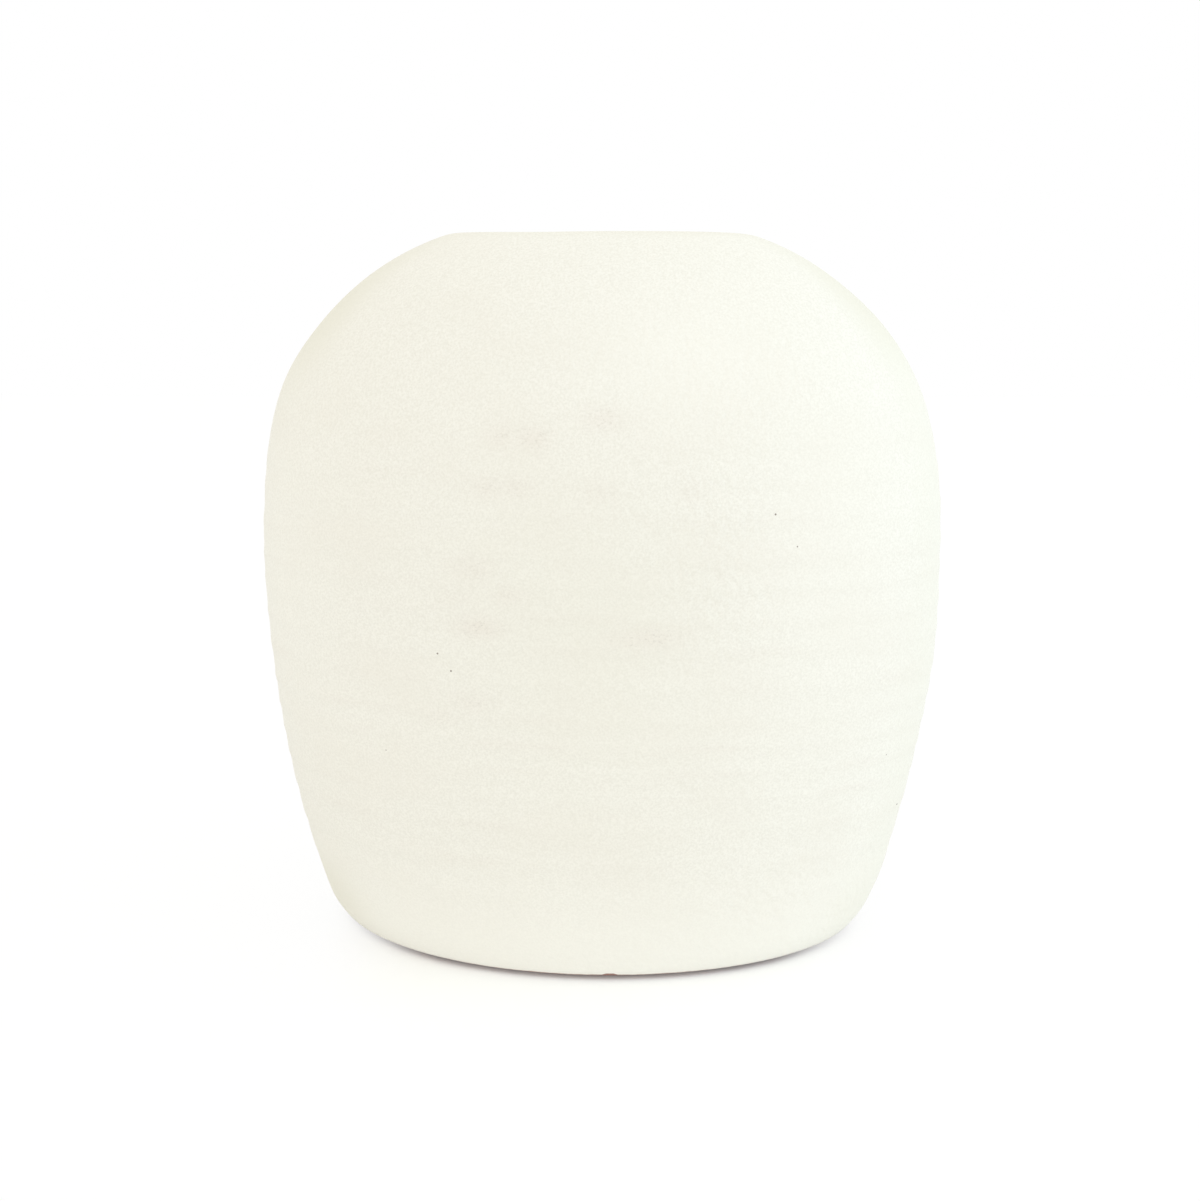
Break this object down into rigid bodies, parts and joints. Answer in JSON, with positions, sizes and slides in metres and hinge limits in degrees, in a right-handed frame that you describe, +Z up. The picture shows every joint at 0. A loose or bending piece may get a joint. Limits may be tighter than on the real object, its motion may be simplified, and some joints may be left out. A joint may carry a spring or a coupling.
{
  "type": "pillow vase",
  "caption": "Oval pillow vase in cream matte glazed stoneware, with broad swelling faces, rounded shoulders, a narrow oval mouth and a bare clay foot, for holding flowers.",
  "frame": {"origin": "middle of the foot, on the plane that the vase stands on", "axes": "+Z up out of the mouth, X along the width of the vase, Y along its depth, with the pictured face looking along -Y"},
  "size_m": [0.195, 0.1002, 0.2],
  "materials": {
    "stoneware": "bare fired clay, matte and slightly gritty",
    "cream_glaze": "cream white matte glaze with an orange-peel surface",
    "liner_glaze": "cream satin glaze"
  },
  "bodies": {
    "root": {"thrown_wall": "stoneware", "base_slab": "stoneware", "slip_joint": "stoneware", "seam_coil": "stoneware", "outer_glaze": "cream_glaze", "liner_glaze": "liner_glaze"}
  },
  "joints": []
}
